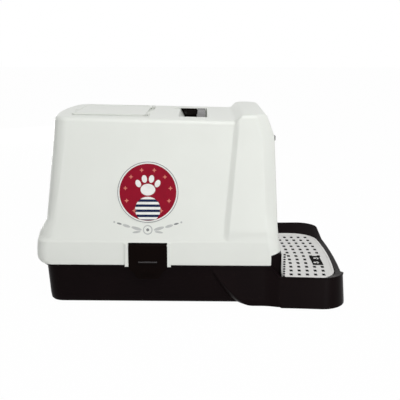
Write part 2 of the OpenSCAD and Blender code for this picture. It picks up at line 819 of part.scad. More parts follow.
module hatch_lid() {
    knuckle_l = 20;
    knuckle_y = ear_y - ear_t / 2 - gap - knuckle_l / 2;
    border = 4;
    color(HOOD)
        on_top(hatch_axis_x)
            difference() {
                union() {
                    translate([-4 - hatch_l / 2, 0, gap])
                        linear_extrude(lid_t)
                            rounded_box(hatch_l - 1, hatch_w, 9);
                    translate([-4 - hatch_l / 2, 0, gap + lid_t])
                        linear_extrude(lid_border_h)
                            difference() {
                                rounded_box(hatch_l - 1, hatch_w, 9);
                                rounded_box(hatch_l - 1 - 2 * border, hatch_w - 2 * border, 6);
                            }
                    // finger lip at the rear
                    translate([-hatch_l - 7, -30, gap + 1])
                        cube([8, 60, lid_t]);
                    for (side = [-1, 1]) {
                        translate([0, side * knuckle_y, hatch_axis_z])
                            rotate([90, 0, 0])
                                cylinder(r = knuckle_r, h = knuckle_l, center = true);
                        translate([-8, side * knuckle_y - knuckle_l / 2, gap])
                            cube([8, knuckle_l, lid_t + 0.6]);
                    }
                }
                for (side = [-1, 1]) {
                    translate([0, side * knuckle_y, hatch_axis_z])
                        rotate([90, 0, 0])
                            cylinder(r = hatch_pin_r + pin_clear, h = knuckle_l + 2, center = true);
                    // slots beside the hinge
                    translate([-34, side * (hatch_w / 2 - 2) - 1.5, -5])
                        cube([27, 3, 20]);
                }
            }
}

// ---- latches --------------------------------------------------------------

// Drawn for the far (+Y) side; the near one is its mirror image
module latch() {
    face_y = latch_y + 0.6;
    foot_z = latch_z - latch_drop;
    tab_w = latch_w / 3;
    ridge_drop = latch_drop / 2;
    difference() {
        union() {
            translate([latch_x, latch_y, latch_z])
                rotate([0, 90, 0])
                    cylinder(r = barrel_r, h = latch_w, center = true);
            // plate with a rounded finger tab at its foot
            translate([0, face_y + latch_t, 0])
                rotate([90, 0, 0])
                    linear_extrude(latch_t)
                        polygon(concat(
                            [[latch_x - latch_w / 2, latch_z], [latch_x - latch_w / 2, foot_z + 20],
                             [latch_x - tab_w - 5, foot_z + 14]],
                            arc(latch_x - tab_w + 8, foot_z + 8, 8, 180, 270, 4),
                            arc(latch_x + tab_w - 8, foot_z + 8, 8, 270, 360, 4),
                            [[latch_x + tab_w + 5, foot_z + 14], [latch_x + latch_w / 2, foot_z + 20],
                             [latch_x + latch_w / 2, latch_z]]));
            // grip ridge
            translate([latch_x, face_y + latch_t, latch_z - ridge_drop])
                rotate([0, 90, 0])
                    cylinder(r = 2.6, h = latch_w / 2, center = true);
            // snap bead, just clear of the pan's flange
            translate([latch_x, latch_y + 0.65, rim_h - 8])
                rotate([0, 90, 0])
                    cylinder(r = 0.6, h = latch_w - 20, center = true);
        }
        translate([latch_x, latch_y, latch_z])
            rotate([0, 90, 0])
                cylinder(r = latch_pin_r + pin_clear, h = latch_w + 2, center = true);
    }
}
module latch_far() {
    color(DARK) latch();
}
module latch_near() {
    color(DARK) mirror([0, 1, 0]) latch();
}

module latch_pin(side) {
    color(STEEL)
        translate([latch_x, side * latch_y, latch_z])
            rotate([0, 90, 0])
                cylinder(r = latch_pin_r, h = window_w + 2 * frame_w - 4.2, center = true);
}
module latch_pin_near() latch_pin(-1);
module latch_pin_far() latch_pin(1);

// ---- door -----------------------------------------------------------------

module door_clip(side) {
    color(DARK)
        difference() {
            translate([door_x + (clip_rear + clip_front) / 2, side * (entry_w / 2 + clip_w / 2),
                       spindle_z])
                cube([clip_front - clip_rear, clip_w - 0.2, clip_h], center = true);
            translate([door_x, side * entry_w / 2, spindle_z])
                rotate([90, 0, 0])
                    cylinder(r = spindle_r + pin_clear, h = 2 * clip_bore, center = true);
        }
}
module door_clip_near() door_clip(-1);
module door_clip_far() door_clip(1);

module door_spindle() {
    color(STEEL)
        translate([door_x, 0, spindle_z])
            rotate([90, 0, 0])
                cylinder(r = spindle_r, h = entry_w + 2 * clip_bore - 1, center = true);
}

module door_flap() {
    color([0.85, 0.88, 0.90, 0.45])
        difference() {
            union() {
                translate([door_x - flap_t / 2, 0, 0])
                    rotate([90, 0, 90])
                        linear_extrude(flap_t)
                            intersection() {
                                entry_outline(-flap_gap);
                                translate([-entry_w / 2, 0])
                                    square([entry_w, spindle_z]);
                            }
                translate([door_x, 0, spindle_z])
                    rotate([90, 0, 0])
                        cylinder(r = 4.5, h = entry_w - 2 * flap_gap, center = true);
            }
            translate([door_x, 0, spindle_z])
                rotate([90, 0, 0])
                    cylinder(r = spindle_r, h = entry_w, center = true);
        }
}

// ---- badges ---------------------------------------------------------------

module badge(side) {
    color([0.55, 0.07, 0.13])
        translate([latch_x, side * wall_line(badge_z), badge_z])
            rotate([side > 0 ? draft - 90 : 90 - draft, 0, 0])
                cylinder(r = badge_r, h = 0.8, $fn = 96);
}
module badge_near() badge(-1);
module badge_far() badge(1);

pan();
entry_step();
grate();
grate_nameplate();
hood_shell();
handle_frame();
handle_pins();
carry_handle();
filter_tray();
filter_pad();
hatch_pins();
hatch_lid();
latch_pin_near();
latch_pin_far();
latch_near();
latch_far();
door_clip_near();
door_clip_far();
door_spindle();
door_flap();
badge_near();
badge_far();
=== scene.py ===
# %% [markdown]
# # A hooded cat litter box
# The real box has two big mouldings: a dark pan with a step at its front, and a white hood that
# lifts off. A handle, a hatch, two latches and a door turn on the hood, and a white grate lies in
# the step. The measured model of all these pieces is already there, so this lesson loads it and
# gives each piece its finish: soft edges, moulded grain, gloss, print, felt and clear plastic.

# %% Load the measured model
import math

import bmesh
import bpy
from mathutils import Matrix, Vector


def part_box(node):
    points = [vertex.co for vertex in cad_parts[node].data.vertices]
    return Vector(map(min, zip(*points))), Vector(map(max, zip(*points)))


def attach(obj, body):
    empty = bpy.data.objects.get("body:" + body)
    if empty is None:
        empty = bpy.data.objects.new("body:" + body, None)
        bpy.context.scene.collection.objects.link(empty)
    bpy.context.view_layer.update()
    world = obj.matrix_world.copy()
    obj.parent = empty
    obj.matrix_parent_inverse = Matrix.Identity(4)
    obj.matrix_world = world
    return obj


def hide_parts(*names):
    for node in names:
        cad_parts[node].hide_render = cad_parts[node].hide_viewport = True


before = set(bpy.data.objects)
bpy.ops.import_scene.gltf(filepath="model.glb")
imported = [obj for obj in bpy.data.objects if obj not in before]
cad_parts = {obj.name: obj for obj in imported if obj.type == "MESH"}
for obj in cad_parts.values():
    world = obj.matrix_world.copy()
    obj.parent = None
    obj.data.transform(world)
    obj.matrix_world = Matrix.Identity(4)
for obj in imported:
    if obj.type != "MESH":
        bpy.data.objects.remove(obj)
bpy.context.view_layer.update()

MM = 0.001
scene = bpy.context.scene

# %% [markdown]
# ## Camera
# A long box shows best from its side and a little above its lid. A long lens keeps its edges
# nearly parallel. An orthographic camera would keep them quite parallel, but then the box would
# look like a drawing. Depth of field stays off, so that every piece is sharp.

# %% Place the camera
CAMERA_AT = (0.02197, -1.49787, 0.517)
TILT, TURN = 76.9, 1.2  # a tilt of 0 looks straight down, and 90 looks level
LENS, SENSOR_W, SHIFT = 62.1, 36.0, 0.025

camera = bpy.data.objects.new("camera", bpy.data.cameras.new("camera"))
camera.data.lens = LENS
camera.data.sensor_width = SENSOR_W
camera.data.shift_x = SHIFT
camera.location = CAMERA_AT
camera.rotation_euler = (math.radians(TILT), 0.0, math.radians(TURN))
scene.collection.objects.link(camera)
scene.camera = camera
print("camera looks", round(90 - TILT, 1), "degrees down")

# %% [markdown]
# ## Materials: how a node tree is started
# Every finish here is built from noise that reads Object coordinates, so the pattern is in
# metres, sticks to the piece and needs no unwrapping. A few helpers save repeating the same
# nodes: one starts a material, one makes noise, and the others turn noise into a number, a
# colour or bumps. Noise hardly ever comes near 0 or 1, so its middle range is what gets stretched.

# %% Helpers for node trees
NOISE_LOW, NOISE_HIGH = 0.3, 0.7


def start_material(name):
    """A new material, with its node tree and its shader."""
    material = bpy.data.materials.new(name)
    material.use_nodes = True
    tree = material.node_tree
    return material, tree, tree.nodes["Principled BSDF"]


def object_noise(tree, scale, detail=2.0):
    """Noise that repeats about scale times in a metre. Detail adds finer layers."""
    place = tree.nodes.new("ShaderNodeTexCoord")
    noise = tree.nodes.new("ShaderNodeTexNoise")
    noise.inputs["Scale"].default_value = scale
    noise.inputs["Detail"].default_value = detail
    tree.links.new(place.outputs["Object"], noise.inputs["Vector"])
    return noise.outputs["Fac"]


def stretched(tree, value, low, high):
    """A number that runs from low to high over the middle range of the noise."""
    stretch = tree.nodes.new("ShaderNodeMapRange")
    stretch.inputs["From Min"].default_value = NOISE_LOW
    stretch.inputs["From Max"].default_value = NOISE_HIGH
    stretch.inputs["To Min"].default_value = low
    stretch.inputs["To Max"].default_value = high
    tree.links.new(value, stretch.inputs["Value"])
    return stretch.outputs["Result"]


def two_tones(tree, value, dark, light):
    """A colour that runs from dark to light over the middle range of the noise."""
    ramp = tree.nodes.new("ShaderNodeValToRGB")
    ramp.color_ramp.elements[0].position = NOISE_LOW
    ramp.color_ramp.elements[0].color = (*dark, 1)
    ramp.color_ramp.elements[1].position = NOISE_HIGH
    ramp.color_ramp.elements[1].color = (*light, 1)
    tree.links.new(value, ramp.inputs["Fac"])
    return ramp.outputs["Color"]


def bumped(tree, shader, height, depth, under=None):
    """Gives the shader bumps of a depth in metres, on top of the bumps that lie under them."""
    bump = tree.nodes.new("ShaderNodeBump")
    bump.inputs["Strength"].default_value = 1.0
    bump.inputs["Distance"].default_value = depth
    tree.links.new(height, bump.inputs["Height"])
    if under:
        tree.links.new(under, bump.inputs["Normal"])
    tree.links.new(bump.outputs["Normal"], shader.inputs["Normal"])
    return bump.outputs["Normal"]


# %% [markdown]
# ## Moulded plastic
# Polypropylene comes out of its mould with three things to see: a fine grain from the eroded
# steel, a slow waviness where thick and thin places shrank differently, and a tone that
# wanders by a few hundredths. Each plastic could have a node tree of its own, but they are all
# made alike, so one function makes them, and each sets only its tone, roughness and grain.

# %% Moulded plastic
WAVE_DEPTH = 0.03 * MM
ROUGHNESS_SPREAD = 0.04


def moulded_plastic(name, tone, spread, roughness, grain, grain_depth, shine=0.5):
    """Plastic whose tone wanders by spread, with so many grains to the metre, and so deep."""
    material, tree, shader = start_material(name)
    shader.inputs["Specular IOR Level"].default_value = shine
    wander = object_noise(tree, 14.0, detail=3.0)
    dark = [c * (1 - spread) for c in tone]
    light = [min(1.0, c * (1 + spread)) for c in tone]
    tree.links.new(two_tones(tree, wander, dark, light), shader.inputs["Base Color"])
    patchy = stretched(tree, wander, roughness - ROUGHNESS_SPREAD, roughness + ROUGHNESS_SPREAD)
    tree.links.new(patchy, shader.inputs["Roughness"])
    wave = bumped(tree, shader, object_noise(tree, 45.0, detail=1.0), WAVE_DEPTH)
    bumped(tree, shader, object_noise(tree, grain), grain_depth, wave)
    return material


# %% The plastics of this box
white_plastic = moulded_plastic("white_satin_plastic", (0.77, 0.79, 0.745), spread=0.012,
                                roughness=0.42, grain=1500, grain_depth=0.02 * MM)
dark_plastic = moulded_plastic("dark_brown_plastic", (0.0056, 0.0031, 0.0034), spread=0.12,
                               roughness=0.36, grain=1300, grain_depth=0.025 * MM, shine=0.03)
black_plastic = moulded_plastic("gloss_black_plastic", (0.0036, 0.0015, 0.0011), spread=0.10,
                                roughness=0.20, grain=900, grain_depth=0.008 * MM, shine=0.03)
matt_plastic = moulded_plastic("matt_black_plastic", (0.0070, 0.0062, 0.0062), spread=0.15,
                               roughness=0.78, grain=1100, grain_depth=0.03 * MM, shine=0.04)
grip_plastic = moulded_plastic("grained_grip_plastic", (0.0060, 0.0036, 0.0034), spread=0.12,
                               roughness=0.30, grain=520, grain_depth=0.05 * MM, shine=0.12)
# A glossier, lighter copy of the dark plastic: it goes on faces that look up and paints a highlight
# line there.
painted_highlight_plastic = moulded_plastic("painted_highlight_dark_edge", (0.0060, 0.0036, 0.0036), spread=0.12,
                               roughness=0.24, grain=900, grain_depth=0.008 * MM, shine=0.40)
light_plastic = moulded_plastic("light_grey_plastic", (0.78, 0.775, 0.755), spread=0.015,
                                roughness=0.48, grain=1700, grain_depth=0.02 * MM)
plastics = (white_plastic, dark_plastic, black_plastic, matt_plastic, grip_plastic, painted_highlight_plastic,
            light_plastic)
print("plastics made:", [plastic.name for plastic in plastics])

# %% [markdown]
# ## Dressing a measured piece
# The measured solids have knife edges and loose triangles. A moulding never has a knife edge:
# the tool maker rounds every edge a little, and that rounding is what catches the light. A Bevel
# modifier could round them too, but only once the triangles are joined. So a copy of each solid is
# merged, its flat faces are joined, and its sharp edges get a small bevel, all in one place. Smooth
# shading with edges marked sharp by angle then makes the curved walls read as curved, and weighted
# normals keep the flat faces flat.

# %% Helpers that dress a node
SAME_PLACE = 0.01 * MM
FLAT_ANGLE, SHARP_ANGLE, SMOOTH_ANGLE = 0.6, 32, 38


def join_flat_faces(shape):
    """Takes out the edges between faces that lie in one plane."""
    bmesh.ops.dissolve_limit(shape, angle_limit=math.radians(FLAT_ANGLE), verts=shape.verts,
                             edges=shape.edges)


def joined_copy(node):
    """A copy of a node's mesh with its corners merged and its flat faces joined."""
    shape = bmesh.new()
    shape.from_mesh(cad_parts[node].data)
    bmesh.ops.remove_doubles(shape, verts=shape.verts, dist=SAME_PLACE)
    join_flat_faces(shape)
    return shape


def soften(shape, width, segments=2, angle=SHARP_ANGLE, shortest=0.0):
    """Rounds the edges where two faces meet at more than the angle. Gives the new faces back."""
    sharp = [e for e in shape.edges
             if len(e.link_faces) == 2 and e.calc_face_angle(0.0) > math.radians(angle)
             and e.calc_length() > shortest]
    made = bmesh.ops.bevel(shape, geom=sharp, offset=width, offset_type="OFFSET",
                           segments=segments, profile=0.5, affect="EDGES", clamp_overlap=True,
                           material=-1)
    return made["faces"]


def finish_piece(name, shape, materials, body, smooth_angle=SMOOTH_ANGLE):
    """Turns a bmesh into a piece that rides on a body and takes its finish from a slot."""
    mesh = bpy.data.meshes.new(name)
    shape.to_mesh(mesh)
    shape.free()
    for material in materials:
        mesh.materials.append(material)
    mesh.polygons.foreach_set("use_smooth", [True] * len(mesh.polygons))
    mesh.set_sharp_from_angle(angle=math.radians(smooth_angle))
    piece = bpy.data.objects.new(name, mesh)
    scene.collection.objects.link(piece)
    even = piece.modifiers.new("even_normals", "WEIGHTED_NORMAL")
    even.keep_sharp = True
    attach(piece, body)
    return piece


def dress(node, name, material, body, width, segments=2):
    """A softened copy of a node takes the node's place."""
    shape = joined_copy(node)
    if width:
        soften(shape, width, segments)
    piece = finish_piece(name, shape, [material], body)
    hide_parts(node)
    print(name, "has", len(piece.data.polygons), "faces")


# %% [markdown]
# ## The pan and its step
# One dark moulding: a deep tub, a flange that carries the hood, and a low tray in front of it.
# The measured model holds it as two solids that meet face to face. A Boolean modifier could join
# them, but faces that only touch are hard for it. So the walls where the solids meet are deleted,
# and the corners round the gap are merged.

# %% Join the pan and its step
def joined_pan():
    """The tub and the entry step as one moulding: the walls where they meet are taken out."""
    shape = bmesh.new()
    for node in ("pan", "entry_step"):
        shape.from_mesh(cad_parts[node].data)
    seam_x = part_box("pan")[1].x
    inner = [f for f in shape.faces if all(abs(v.co.x - seam_x) < SAME_PLACE for v in f.verts)]
    bmesh.ops.delete(shape, geom=inner, context="FACES")
    bmesh.ops.remove_doubles(shape, verts=shape.verts, dist=2 * SAME_PLACE)
    join_flat_faces(shape)
    print("pan joined, open edges left:", sum(1 for e in shape.edges if len(e.link_faces) != 2))
    return shape


pan_shape = joined_pan()

# %% [markdown]
# The pan's rims are rounded off by a narrow bevel, since a cat steps on them. The new faces that
# look up take a glossier and lighter copy of the dark plastic, which paints a thin bright
# highlight along each rim. A second material on the same piece does this without a second shape.

# %% Pan
RIM_ROUND, RIM_ANGLE, RIM_SHORTEST = 0.6 * MM, 40, 3 * MM
HIGHLIGHT_FACES_UP = 0.3

# Bevel faces that look up take the highlight plastic: a painted highlight along each rim.
for face in soften(pan_shape, RIM_ROUND, angle=RIM_ANGLE, shortest=RIM_SHORTEST):
    face.material_index = int(face.normal.z > HIGHLIGHT_FACES_UP)
pan_body = finish_piece("pan_body", pan_shape, [dark_plastic, painted_highlight_plastic], "pan")
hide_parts("pan", "entry_step")
print("pan body has", len(pan_body.data.polygons), "faces")

# %% [markdown]
# ## The grate
# The white grate is a plate full of holes. A moulder thins the plate round each hole, so that
# litter falls through and doesn't lodge. Each hole could be picked by hand, but its wall is a small
# group of upright faces of its own. So the groups are found by walking from face to face, and
# their lower corners are lifted.

# %% Find the holes
UPRIGHT, MOST_HOLE_FACES = 0.1, 8


def hole_walls(shape):
    """Groups of upright faces that touch: a hole is a small group, the outline a large one."""
    upright = {f for f in shape.faces if abs(f.normal.z) < UPRIGHT}
    groups = []
    while upright:
        group, edge_of = set(), [upright.pop()]
        while edge_of:
            face = edge_of.pop()
            group.add(face)
            for near in {f for e in face.edges for f in e.link_faces} & upright:
                upright.discard(near)
                edge_of.append(near)
        groups.append(group)
    return [g for g in groups if len(g) <= MOST_HOLE_FACES]


# %% Thin the grate round its holes
LAND_T, GRATE_ROUND = 0.6 * MM, 0.25 * MM

grate_shape = bmesh.new()
grate_shape.from_mesh(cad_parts["grate"].data)
bmesh.ops.remove_doubles(grate_shape, verts=grate_shape.verts, dist=SAME_PLACE)
holes = hole_walls(grate_shape)
for group in holes:
    corners = {v for f in group for v in f.verts}
    top_z = max(v.co.z for v in corners)
    for v in corners:
        v.co.z = max(v.co.z, top_z - LAND_T)
join_flat_faces(grate_shape)
soften(grate_shape, GRATE_ROUND)
print("grate has", len(holes), "holes with lands", round(LAND_T / MM, 1), "mm thick")

# %% [markdown]
# A column of small dark teeth stands at each end of the grate's upright rear wall: they paint the
# shade in the gaps of a toothed strip. An Array modifier could repeat one tooth, but it would need
# a piece of its own. Here each tooth is a cube that is scaled and moved inside the grate's own
# shape.

# %% Grate with its dark teeth of painted shade
RISER_T, TEETH, TOOTH_SUNK = 5.0 * MM, 10, 0.2 * MM
TOOTH_L, TOOTH_W, TOOTH_PITCH = 4.5 * MM, 4 * MM, 5 * MM
TOOTH_H = TOOTH_PITCH * 0.42

grate_low, grate_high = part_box("grate")
tooth_x = grate_low.x + RISER_T + TOOTH_L / 2 - TOOTH_SUNK
for sign in (-1, 1):
    for k in range(TEETH):
        tooth = bmesh.ops.create_cube(grate_shape, size=1.0)["verts"]
        bmesh.ops.scale(grate_shape, vec=(TOOTH_L, TOOTH_W, TOOTH_H), verts=tooth)
        for face in {f for v in tooth for f in v.link_faces}:
            # The teeth take the matt black plastic: painted shade in the gaps of the strip.
            face.material_index = 1
        at = (tooth_x, sign * (grate_high.y - TOOTH_W / 2), grate_high.z - TOOTH_PITCH * (k + 1))
        bmesh.ops.translate(grate_shape, verts=tooth, vec=at)
step_grate = finish_piece("step_grate", grate_shape, [light_plastic, matt_plastic], "grate")
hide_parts("grate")
print("grate has", 2 * TEETH, "painted_shade teeth")

# %% [markdown]
# ## The plate on the grate
# A small dark plate is pressed into the grate's near front corner. It starts as a cube stretched
# to the measured box. Its top is inset and pushed down, which leaves a raised border. Two small
# paw prints give the bare face something of its own. They could be a picture on the face, but
# that blurs close up, so each is five ovals: circles that are scaled, moved and thickened.

# %% Grate plate
PLATE_RIM, PLATE_SUNK, PLATE_ROUND = 1.4 * MM, 0.5 * MM, 0.25 * MM

plate_low, plate_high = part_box("grate_nameplate")
plate_middle = (plate_low + plate_high) / 2
plate = bmesh.new()
bmesh.ops.create_cube(plate, size=1.0)
bmesh.ops.scale(plate, vec=plate_high - plate_low, verts=plate.verts)
bmesh.ops.translate(plate, vec=plate_middle, verts=plate.verts)
plate_top = max(plate.faces, key=lambda f: f.calc_center_median().z)
bmesh.ops.inset_region(plate, faces=[plate_top], thickness=PLATE_RIM, depth=0.0)
bmesh.ops.translate(plate, vec=(0, 0, -PLATE_SUNK), verts=plate_top.verts)
soften(plate, PLATE_ROUND)
print("plate is", [round(c / MM, 1) for c in plate_high - plate_low], "mm")

# %% Two paw prints on the plate
PAW_T, PAW_POINTS = 0.25 * MM, 20
PAWS_AT = ((-2, -15), (2, 15))
# each oval's middle and half widths, in millimetres from the middle of its paw
PAW_OVALS = ((-2.6, 0, 3.3, 4.2), (2.4, -5.0, 1.9, 1.5), (4.2, -1.8, 2.1, 1.5),
             (4.2, 1.8, 2.1, 1.5), (2.4, 5.0, 1.9, 1.5))

paw_z = max(v.co.z for v in plate.verts) - PLATE_SUNK + PAW_T
for paw_x, paw_y in PAWS_AT:
    for dx, dy, half_x, half_y in PAW_OVALS:
        oval = bmesh.ops.create_circle(plate, cap_ends=True, radius=1.0,
                                       segments=PAW_POINTS)["verts"]
        bmesh.ops.scale(plate, vec=(half_x * MM, half_y * MM, 1), verts=oval)
        at = (plate_middle.x + (paw_x + dx) * MM, plate_middle.y + (paw_y + dy) * MM, paw_z)
        bmesh.ops.translate(plate, vec=at, verts=oval)
        caps = list({f for v in oval for f in v.link_faces})
        for cap in caps:
            cap.material_index = 1
        bmesh.ops.solidify(plate, geom=caps, thickness=PAW_T)
grate_plate = finish_piece("grate_plate", plate, [matt_plastic, light_plastic], "grate")
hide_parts("grate_nameplate")
print("plate carries", len(PAWS_AT), "paws of", len(PAW_OVALS), "ovals each")

# %% [markdown]
# ## The hood
# The white hood is one thin shell with a raised arch at the front and a bulge at the rear. Its
# surface is already smooth where the walls curve, and its cut edges, such as the windows of the
# latches and the entry, get the small rounding of a real mould. On the real hood the bulge is a
# little narrower than the rear wall: each rear corner runs straight down to a ledge on the skirt,
# and the bulge stands out between the two. The corners could be sculpted, but a rule that can be
# read is surer: they are drawn forwards by as much as the bulge stands out at their height.

# %% How far a rear corner moves
SKIRT_TOP, SKIRT_STEP = 134 * MM, 3.5 * MM
BULGE_FOOT, BULGE_TOP, BULGE_D, BULGE_POWER = 99 * MM, 169 * MM, 20 * MM, 2.6
BULGE_HALF, CORNER_HALF = 176 * MM, 208 * MM


def smooth_step(value):
    """0 below 0, 1 above 1, and a smooth rise between them."""
    value = min(1.0, max(0.0, value))
    return value * value * (3 - 2 * value)


def corner_shift(at):
    """How far a point of the rear wall moves forwards."""
    if not SKIRT_TOP - SKIRT_STEP < at.z < BULGE_TOP:
        return 0.0
    up = (at.z - BULGE_FOOT) / (BULGE_TOP - BULGE_FOOT)
    stands_out = BULGE_D * (1 - up ** BULGE_POWER)
    aside = smooth_step((abs(at.y) - BULGE_HALF) / (CORNER_HALF - BULGE_HALF))
    above = smooth_step((at.z - SKIRT_TOP + SKIRT_STEP) / SKIRT_STEP)
    return stands_out * aside * above


ledge_d = corner_shift(Vector((0, CORNER_HALF, SKIRT_TOP)))
print("the ledge at a rear corner is", round(ledge_d / MM, 1), "mm deep")

# %% [markdown]
# A flat wall has no points between its ends that could be moved. Subdividing it would cut it all
# over, so it is cut only where it bends: into narrow upright strips near both rear corners.

# %% Cut the rear wall into strips
REAR_L, REAR_OVER, CUTS = 80 * MM, 12 * MM, 6

hood_shape = joined_copy("hood_shell")
rear_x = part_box("hood_shell")[0].x
rear_end_x = rear_x + REAR_L
rear_low_z, rear_high_z = SKIRT_TOP - 2 * SKIRT_STEP, BULGE_TOP + REAR_OVER
for k in range(CUTS):
    for sign in (-1, 1):
        cut_y = BULGE_HALF + (CORNER_HALF - BULGE_HALF) * (k + 1) / (CUTS + 1)
        rear = [f for f in hood_shape.faces
                if all(v.co.x < rear_end_x and rear_low_z < v.co.z < rear_high_z for v in f.verts)]
        edges = list({e for f in rear for e in f.edges})
        points = list({v for f in rear for v in f.verts})
        bmesh.ops.bisect_plane(hood_shape, geom=rear + edges + points,
                               plane_co=(0, sign * cut_y, 0), plane_no=(0, 1, 0))
print("strips are", round((CORNER_HALF - BULGE_HALF) / (CUTS + 1) / MM, 1), "mm wide")

# %% Hood
HOOD_ROUND, HOOD_ANGLE = 0.5 * MM, 40

moved = 0
for v in hood_shape.verts:
    if v.co.x < rear_end_x:
        shift = corner_shift(v.co)
        v.co.x += shift
        moved += shift > 0
soften(hood_shape, HOOD_ROUND, angle=HOOD_ANGLE)
hood_skin = finish_piece("hood_skin", hood_shape, [white_plastic], "hood")
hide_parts("hood_shell")
print("hood_skin has", len(hood_skin.data.polygons), "faces,", moved, "corner points moved")

# %% [markdown]
# ## The hatch lid
# The lid over the filter lies in the rear of the top. Its raised border and its finger lip could
# be inset and extruded here, but the measured shape already has them, so a fine bevel is enough.

# %% Hatch lid
dress("hatch_lid", "hatch_cover", white_plastic, "hatch", 0.25 * MM)

# %% [markdown]
# ## The carry handle
# A folding grip bar turns in a dark lined pocket. It could be swept along a curve, but its measured
# shape is right and only its edges are hard. A hand holds it, so they get the widest bevel, in
# three segments so that they look round close up. The liner keeps a crisp edge.

# %% Handle
dress("carry_handle", "grip_handle", grip_plastic, "handle", 1.2 * MM, 3)
dress("handle_frame", "grip_cheeks", black_plastic, "hood", 0.3 * MM)

# %% [markdown]
# ## Latches and door clips
# A latch is a flat plate that hangs on a barrel. A thumb pulls it at its foot, and three fine ribs
# there keep the thumb from slipping. The ribs could be bumps in the material, but real bars catch
# the light along their edges, so they are thin cubes with rounded edges.

# %% Ribs at the foot of a latch
RIBS, RIB_FROM, RIB_ROUND = 3, 5 * MM, 0.3 * MM
RIB_L, RIB_H, RIB_T, RIB_PITCH = 26 * MM, 1.1 * MM, 0.7 * MM, 3.2 * MM


def foot_ribs(middle_x, face_y, foot_z):
    """Thin bars, one above the other, half sunk into the face of a latch."""
    ribs = bmesh.new()
    for k in range(RIBS):
        bar = bmesh.ops.create_cube(ribs, size=1.0)["verts"]
        bmesh.ops.scale(ribs, vec=(RIB_L, 2 * RIB_T, RIB_H), verts=bar)
        at = (middle_x, face_y, foot_z + RIB_FROM + k * RIB_PITCH)
        bmesh.ops.translate(ribs, vec=at, verts=bar)
    soften(ribs, RIB_ROUND)
    return ribs


# %% [markdown]
# A round ridge crosses each latch plate. The faces that stand out of the plate and look up take the
# glossier, lighter highlight plastic, which paints one bright line along its upper half. The same
# lines make the near and the far latch: the sign of y tells them apart.

# %% Latches and door clips
SIDES = (("near", -1), ("far", 1))
LATCH_ROUND, RIDGE_PROUD, RIDGE_FROM, RIDGE_UP = 0.5 * MM, 2.6 * MM, 0.3 * MM, 0.1

for side, sign in SIDES:
    plate_shape = joined_copy(f"latch_{side}")
    soften(plate_shape, LATCH_ROUND)
    low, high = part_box(f"latch_{side}")
    face_y = sign * (max(abs(low.y), abs(high.y)) - RIDGE_PROUD)
    for face in plate_shape.faces:
        proud = sign * (face.calc_center_median().y - face_y)
        # Up-facing faces of the ridge take the highlight plastic: a painted highlight line.
        face.material_index = int(proud > RIDGE_FROM and face.normal.z > RIDGE_UP)
    latch_plate = finish_piece(f"latch_plate_{side}", plate_shape, [black_plastic, painted_highlight_plastic],
                               f"latch_{side}")
    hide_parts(f"latch_{side}")
    dress(f"door_clip_{side}", f"spindle_clip_{side}", black_plastic, "hood",
          0.3 * MM)
    finish_piece(f"latch_ribs_{side}", foot_ribs((low.x + high.x) / 2, face_y, low.z),
                 [black_plastic], f"latch_{side}")
print("latches carry", RIBS, "ribs each")

# %% [markdown]
# ## The door flap
# The flap is a thin sheet of clear smoked plastic. Glass nodes could make it, but the usual shader
# does it too, with its transmission high and its colour a middle grey, and slow noise gives it the
# haze and the ripple of a moulded sheet.

# %% Clear smoked plastic
def clear_smoked(name):
    """Clear plastic with a grey tint, a little haze and a slow ripple."""
    material, tree, shader = start_material(name)
    cloud = object_noise(tree, 9.0, detail=3.0)
    tint = two_tones(tree, cloud, (0.50, 0.49, 0.47), (0.56, 0.55, 0.53))
    haze = stretched(tree, object_noise(tree, 60.0, detail=4.0), 0.05, 0.16)
    tree.links.new(tint, shader.inputs["Base Color"])
    tree.links.new(haze, shader.inputs["Roughness"])
    shader.inputs["Transmission Weight"].default_value = 0.85
    shader.inputs["IOR"].default_value = 1.49
    bumped(tree, shader, object_noise(tree, 22.0, detail=1.0), 0.04 * MM)
    return material


smoked_plastic = clear_smoked("smoked_clear_plastic")
print("smoked plastic has", len(smoked_plastic.node_tree.nodes), "nodes")

# %% [markdown]
# A real flap is stiffened by a raised rim. Strips round its edge could be that rim, but they would
# leave seams, so each broad face is inset and its middle is pushed in by half a millimetre.

# %% Door flap
FLAP_RIM, FLAP_SUNK, FLAP_ROUND = 6 * MM, 0.5 * MM, 0.25 * MM
SQUARE_ON = 0.99

flap = joined_copy("door_flap")
for way in (-1, 1):
    broad = [f for f in flap.faces if f.normal.x * way > SQUARE_ON]
    sheet_face = max(broad, key=lambda f: f.calc_area())
    bmesh.ops.inset_region(flap, faces=[sheet_face], thickness=FLAP_RIM, depth=0.0,
                           use_even_offset=True)
    bmesh.ops.translate(flap, vec=(-way * FLAP_SUNK, 0, 0), verts=sheet_face.verts)
soften(flap, FLAP_ROUND)
door_sheet = finish_piece("door_sheet", flap, [smoked_plastic], "door")
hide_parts("door_flap")
print("door sheet has", len(door_sheet.data.polygons), "faces")

# %% [markdown]
# ## Steel pins
# The spindle that the flap swings on and the hinge pins are drawn wire. Drawing leaves fine
# scratches along the wire, which a noise stretched by a Mapping node imitates. A picture of
# scratches would need unwrapping, and noise doesn't.

# %% Drawn steel
ALONG_WIRE, ACROSS_WIRE = 40.0, 2600.0


